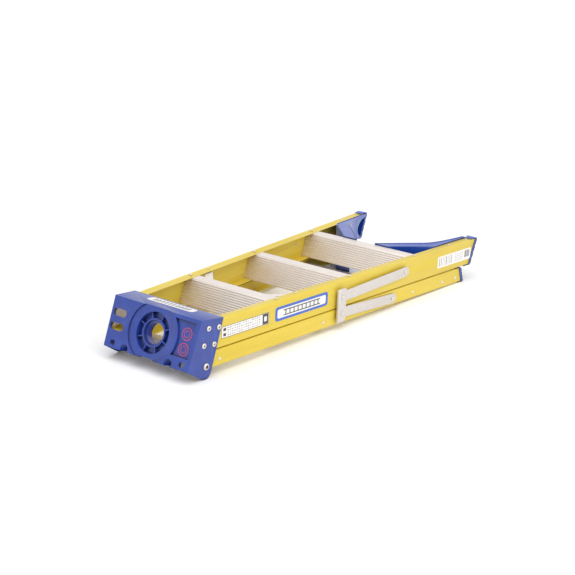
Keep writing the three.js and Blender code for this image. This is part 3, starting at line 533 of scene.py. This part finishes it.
def fastener_sites(side):
    """Where rivets and nuts sit: kind, body, place in a rail's own axes, and the way they face."""
    inside_rear = -REAR["inset"] - REAR["wall"]
    for x in (*BRACE_RIVETS["along"], TREAD_RIVET):
        yield "flange", "front_section", (x, -BRACE_RIVETS["inset"], 0), (0, 0, 1)
    for x in FRONT_BOOT_NUTS["along"]:
        yield "nut", "front_section", (x, -FRONT_WALL - BOOT_PLATE, FRONT_BOOT_NUTS["z"]), (0, -1, 0)
    yield "pivot_nut", "front_section", (PIVOT[0], inside_rear - PIVOT_PLAY, PIVOT[1]), (0, -1, 0)
    for x in CROSSBARS:
        yield "web", "rear_section", (x, -REAR["inset"], CROSSBAR_RIVET_Z), (0, 1, 0)
    for x in REAR_BOOT_RIVETS["along"]:
        yield "web", "rear_section", (x, -REAR["inset"], REAR_BOOT_RIVETS["z"]), (0, 1, 0)
        yield "nut", "rear_section", (x, inside_rear - BOOT_PLATE, REAR_BOOT_RIVETS["z"]), (0, -1, 0)
    # dark discs at the floor of the heads' dimples: painted shade of the hollows
    for head, kind in (("cap_rivet", "mandrel"), ("pivot_bolt", "socket")):
        for node in frame["nodes"]:
            if node.startswith(f"{head}_{side}"):
                yield kind, BODY_OF[node], dimple_of(node, side, DIMPLES[head]), (0, 1, 0)


def tread_sites():
    """Rivets on the treads' front aprons, in the ladder's axes."""
    for sign in SIDES.values():
        for x, across in APRON_RIVETS["across"]:
            yield "flange", "front_section", (x, sign * across, APRON_RIVETS["z"]), (0, 0, 1)


def add_fasteners():
    """One piece for each kind of fastener on each body."""
    groups = {}
    places = [(ALONG[side], site) for side in SIDES for site in fastener_sites(side)]
    places += [(TO_FRAME, site) for site in tread_sites()]
    for matrix, (kind, body, place, way) in places:
        direction = (matrix.to_3x3() @ Vector(way)).normalized()
        groups.setdefault((kind, body), []).append((matrix @ Vector(place), direction))
    for (kind, body), sites in groups.items():
        points = bpy.data.meshes.new(kind)
        points.from_pydata([place for place, way in sites], [], [])
        ways = points.attributes.new("direction", "FLOAT_VECTOR", "POINT")
        ways.data.foreach_set("vector", [number for place, way in sites for number in way])
        settings = {key: value if key == "Sides" else value / 1000 for key, value in RIVETS[kind].items()}
        finish, slot = (HOLLOW_SHADE_STEEL, "zinc_steel") if kind in HOLLOW_SHADE_KINDS else (RIVET_METAL, "rivet_aluminium")
        settings["Material"] = finish
        made = grown(f"{kind}_fasteners_{body}", FASTENERS, settings, points, edge=FASTENER_EDGE / 1000)
        finished(made, finish, body)


# ---------------------------------------------------------------- labels
PRINTS = {  # printed bars: where their middle is on the label, and their grid
    "strip_blocks": ((-6, 0), {"Width": 118.0, "Height": 20.0, "Columns": 15, "Rows": 4, "Room": 7.0,
                               "Least": 0.2, "Bar height": 2.8, "Seed": 3}),
    "strip_marks": ((-78, 0), {"Width": 0.0, "Height": 14.0, "Columns": 1, "Rows": 2, "Room": 10.0,
                               "Least": 0.8, "Bar height": 8.0, "Seed": 0}),
    "badge_stiles": ((0, 0), {"Width": 0.0, "Height": 14.0, "Columns": 1, "Rows": 2, "Room": 150.0,
                              "Least": 1.0, "Bar height": 2.8, "Seed": 0}),
    "badge_rungs": ((0, 0), {"Width": 132.0, "Height": 0.0, "Columns": 9, "Rows": 1, "Room": 3.4,
                             "Least": 1.0, "Bar height": 13.0, "Seed": 0}),
    "code_columns": ((-46, 0), {"Width": 62.0, "Height": 0.0, "Columns": 8, "Rows": 1, "Room": 4.6,
                                "Least": 0.3, "Bar height": 27.0, "Seed": 7}),
    "code_lines": ((24, 0), {"Width": 36.0, "Height": 20.0, "Columns": 5, "Rows": 4, "Room": 7.0,
                             "Least": 0.4, "Bar height": 2.0, "Seed": 11}),
    "code_bars": ((66, 2), {"Width": 24.0, "Height": 0.0, "Columns": 12, "Rows": 1, "Room": 1.5,
                            "Least": 0.3, "Bar height": 22.0, "Seed": 9}),
    "cap_label_bars": ((0, 0), {"Width": 116.0, "Height": 12.0, "Columns": 10, "Rows": 3, "Room": 11.0,
                                "Least": 0.5, "Bar height": 3.6, "Seed": 5}),
}


def rounded_rectangle(width, height, radius, steps=5):
    """The points of a rounded rectangle's outline."""
    outline = []
    for corner, (sx, sy) in enumerate(((1, 1), (-1, 1), (-1, -1), (1, -1))):
        for i in range(steps + 1):
            angle = (corner + i / steps) * math.pi / 2
            outline.append((sx * (width / 2 - radius) + radius * math.cos(angle),
                            sy * (height / 2 - radius) + radius * math.sin(angle)))
    return outline


def circle(radius, steps=40):
    """The points of a circle."""
    angles = [i * 2 * math.pi / steps for i in range(steps)]
    return [(radius * math.cos(angle), radius * math.sin(angle)) for angle in angles]


def lift(level):
    """To a layer's middle, above the label's place; level counts the layers under it."""
    return Matrix.Translation((0, 0, FILM * (level + 0.5)))


def film(name, outlines, level, matrix, finish, body, slot):
    """A thin printed film with the given outlines, the inner ones open."""
    curve = bpy.data.curves.new(name, "CURVE")
    curve.dimensions = "2D"
    curve.fill_mode = "BOTH"
    curve.extrude = FILM / 2
    for outline in outlines:
        spline = curve.splines.new("POLY")
        spline.points.add(len(outline) - 1)
        for point, (x, y) in zip(spline.points, outline):
            point.co = (x, y, 0, 1)
        spline.use_cyclic_u = True
    drawn = new_object(name, curve)
    graph = bpy.context.evaluated_depsgraph_get()
    mesh = merged(bpy.data.meshes.new_from_object(drawn.evaluated_get(graph)), 1e-4)
    bpy.data.objects.remove(drawn)
    made = new_object(name, mesh)
    made.data.transform(matrix @ lift(level))
    return finished(made, finish, body)


def print_bars(kind, ending, level, matrix, finish, body, slot):
    """Printed bars on a label, of one of the kinds in PRINTS."""
    (x, y), grid = PRINTS[kind]
    made = grown(kind + ending, BARS, {**grid, "Thickness": FILM, "Material": finish})
    made.data.transform(matrix @ Matrix.Translation((x, y, 0)) @ lift(level))
    return finished(made, finish, body)


def strip_label(side, **place):
    """A strip with blocks for its lines of print and a framed window at one end."""
    strip = on_web(side, STRIP["along"], STRIP["z"])
    outline = rounded_rectangle(STRIP["width"], STRIP["height"], 2)
    border = [outline, rounded_rectangle(STRIP["width"] - 2, STRIP["height"] - 2.4, 1.5)]
    window = [rounded_rectangle(22, 28, 1), rounded_rectangle(11, 14, 2)]
    film(f"strip_label_{side}", [outline], 0, strip, WHITE_VINYL, **place)
    film(f"strip_border_{side}", border, 1, strip, DARK_INK, **place)
    print_bars("strip_blocks", f"_{side}", 1, strip, PALE_INK, **place)
    print_bars("strip_marks", f"_{side}", 1, strip, DARK_INK, **place)
    at_end = strip @ Matrix.Translation((STRIP["window"], 0, 0))
    film(f"strip_end_{side}", window, 1, at_end, DARK_INK, **place)


def badge_label(side, **place):
    """A blue badge with a white field and a drawing of a ladder."""
    badge = on_web(side, BADGE["along"], BADGE["z"])
    outline = rounded_rectangle(BADGE["width"], BADGE["height"], 9)
    field = rounded_rectangle(BADGE["width"] - 18, BADGE["height"] - 15, 5)
    film(f"badge_{side}", [outline], 0, badge, BLUE_VINYL, **place)
    film(f"badge_field_{side}", [field], 1, badge, WHITE_VINYL, **place)
    for kind in ("badge_stiles", "badge_rungs"):
        print_bars(kind, f"_{side}", 2, badge, DARK_INK, **place)


def code_label(side, **place):
    """A white label with columns, lines and a block of bars."""
    code = on_web(side, CODE["along"], CODE["z"])
    outline = rounded_rectangle(CODE["width"], CODE["height"], 2)
    film(f"code_label_{side}", [outline], 0, code, WHITE_VINYL, **place)
    for kind, ink in (("code_columns", PALE_INK), ("code_lines", PALE_INK), ("code_bars", DARK_INK)):
        print_bars(kind, f"_{side}", 1, code, ink, **place)


def rail_labels():
    """The same three labels on both front rails, in the same order along the rail."""
    for side in SIDES:
        for label in (strip_label, badge_label, code_label):
            label(side, body="front_section", slot="fibreglass")


def cap_labels():
    """A plain label on the cap's skirt and two plain red rings in its tray."""
    place = {"body": "front_section", "slot": "moulded_blue"}
    skirt = on_skirt(CAP_LABEL["x"])
    outline = rounded_rectangle(CAP_LABEL["width"], CAP_LABEL["height"], 10)
    film("cap_label", [outline], 0, skirt, WHITE_VINYL, **place)
    print_bars("cap_label_bars", "", 1, skirt, DARK_INK, **place)
    outer, inner = ([circle(radius) for radius in TRAY_RINGS[ring]] for ring in ("outer", "inner"))
    for i, down in enumerate(TRAY_RINGS["down"]):
        tray = on_face(TRAY_RINGS["across"], down, TRAY_DEPTH)
        film(f"tray_ring_{i + 1}", outer, 0, tray, RED_INK, **place)
        film(f"tray_ring_inner_{i + 1}", inner, 0, tray, RED_INK, **place)


# ---------------------------------------------------------------- the cap's underside
def cap_ribs():
    """Ribs that stiffen the cap's top face from below."""
    below = CAP["face_plate"] + CAP_RIBS["depth"] / 2 - CAP_RIBS["sunk"]
    for name, sign in SIDES.items():
        made = grown(f"cap_ribs_{name}", BARS, {
            "Width": CAP_RIBS["apart"], "Height": 0.0, "Columns": 2, "Rows": 1,
            "Room": CAP_RIBS["thickness"], "Least": 1.0, "Bar height": CAP_RIBS["length"],
            "Thickness": CAP_RIBS["depth"], "Seed": 0, "Material": CAP_PLASTIC}, edge=CAP_RIBS["edge"])
        place = Matrix.Translation((sign * CAP_RIBS["across"], -CAP_RIBS["down"], below))
        made.data.transform(CAP_FACE @ place)
        finished(made, CAP_PLASTIC, "front_section")


# ---------------------------------------------------------------- camera, light and floor
CAMERA = {"place": (-3.064, -2.335, 1.374), "target": (-0.0174, 0.0175, 0.0709), "roll": math.radians(1.475),
          "lens": 87.8, "sensor": 36}
LIGHTS = [  # kind, place, target, how soft, strength
    ("SUN", (-1.5, -1.0, 4.0), (0, 0, 0), math.radians(70), 1.7),
    ("AREA", (-0.3, -3.2, 1.6), (0, 0, 0.05), 2.2, 26),
]
FLOOR_REACH = 40


def aim(obj, target, roll=0.0):
    direction = Vector(target) - obj.location
    obj.rotation_mode = "QUATERNION"
    obj.rotation_quaternion = direction.to_track_quat("-Z", "Y") @ Quaternion((0, 0, 1), roll)


def add_camera():
    camera = bpy.data.objects.new("camera", bpy.data.cameras.new("camera"))
    camera.data.lens = CAMERA["lens"]
    camera.data.sensor_width = CAMERA["sensor"]
    camera.location = CAMERA["place"]
    aim(camera, CAMERA["target"], CAMERA["roll"])
    bpy.context.scene.collection.objects.link(camera)
    bpy.context.scene.camera = camera


def add_world():
    """An even white room, which lights matt surfaces a little less than it shows in glossy ones."""
    world = bpy.data.worlds.new("white_room")
    bpy.context.scene.world = world
    world.use_nodes = True
    tree = world.node_tree
    background = tree.nodes["Background"]
    background.inputs["Color"].default_value = linear("#FFFFFF")
    matt = add(tree, "ShaderNodeLightPath").outputs["Is Diffuse Ray"]
    strength = add(tree, "ShaderNodeMapRange", {"Value": matt, "To Min": 1.0, "To Max": 0.55}).outputs[0]
    tree.links.new(strength, background.inputs["Strength"])


def add_lights():
    for kind, place, target, soft, strength in LIGHTS:
        data = bpy.data.lights.new("soft_" + kind.lower(), kind)
        if kind == "SUN":
            data.angle = soft
        else:
            data.size = soft
        data.energy = strength
        lamp = bpy.data.objects.new(data.name, data)
        lamp.location = place
        aim(lamp, target)
        bpy.context.scene.collection.objects.link(lamp)


def add_floor():
    corners = [(x * FLOOR_REACH, y * FLOOR_REACH, 0) for x, y in ((-1, -1), (1, -1), (1, 1), (-1, 1))]
    mesh = bpy.data.meshes.new("floor")
    mesh.from_pydata(corners, [], [(0, 1, 2, 3)])
    mesh.materials.append(material("pale_floor", "#FFFFFF", 0.9)[0])
    new_object("floor", mesh)


bpy.context.scene.view_settings.view_transform = "Standard"
add_camera()
add_world()
add_lights()
add_floor()
finish_cad_nodes()
add_fasteners()
rail_labels()
cap_labels()
cap_ribs()
